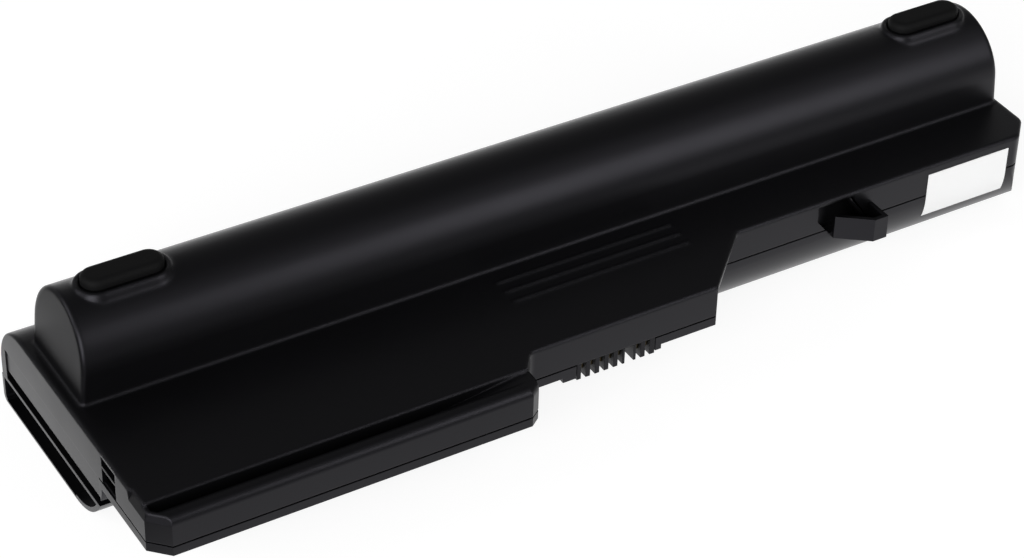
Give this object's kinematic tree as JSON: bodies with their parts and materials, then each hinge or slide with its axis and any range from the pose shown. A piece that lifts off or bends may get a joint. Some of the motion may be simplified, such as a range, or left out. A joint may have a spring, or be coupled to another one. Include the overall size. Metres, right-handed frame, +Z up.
{
  "type": "laptop battery",
  "caption": "Extended laptop battery pack, black plastic housing with a half-round bulge, rubber feet, end rails, latch lug and comb connector; cells and board inside",
  "frame": {"origin": "centre of the bounding box's bottom, on the flat bottom of the tray", "axes": "+X along the pack to its right end, +Y to its plain back, +Z up through the bulge"},
  "size_m": [0.206, 0.0672, 0.04],
  "materials": {
    "housing_plastic": "fine moulded texture, satin",
    "foot_rubber": "matte",
    "label_vinyl": "blank white sticker",
    "cell_sleeve": "shrink sleeve",
    "nickel": "nickel strip",
    "insulating_paper": "fish paper",
    "spacer_plastic": "moulded",
    "board_laminate": "solder resist",
    "chip_plastic": "moulded packages",
    "fuse_ceramic": "ceramic",
    "bead_resin": "dipped resin",
    "connector_plastic": "moulded",
    "contact_brass": "gold flash"
  },
  "bodies": {
    "root": {"blank_label": "label_vinyl", "board_chips": "chip_plastic", "cell_back_left": "cell_sleeve", "cell_back_middle": "cell_sleeve", "cell_back_right": "cell_sleeve", "cell_front_left": "cell_sleeve", "cell_front_middle": "cell_sleeve", "cell_front_right": "cell_sleeve", "cell_top_left": "cell_sleeve", "cell_top_middle": "cell_sleeve", "cell_top_right": "cell_sleeve", "circuit_board": "board_laminate", "connector_body": "connector_plastic", "connector_contacts": "contact_brass", "end_insulator_left": "insulating_paper", "end_insulator_right": "insulating_paper", "foot_left": "foot_rubber", "foot_right": "foot_rubber", "fuse": "fuse_ceramic", "insulating_strip": "insulating_paper", "insulator_rings": "insulating_paper", "lead_negative": "nickel", "lead_positive": "nickel", "lower_housing": "housing_plastic", "row_spacers": "spacer_plastic", "strap_left_middle": "nickel", "strap_middle_right": "nickel", "strap_negative_end": "nickel", "strap_positive_end": "nickel", "tap_lead": "nickel", "thermistor": "bead_resin", "upper_housing": "housing_plastic"}
  },
  "joints": []
}
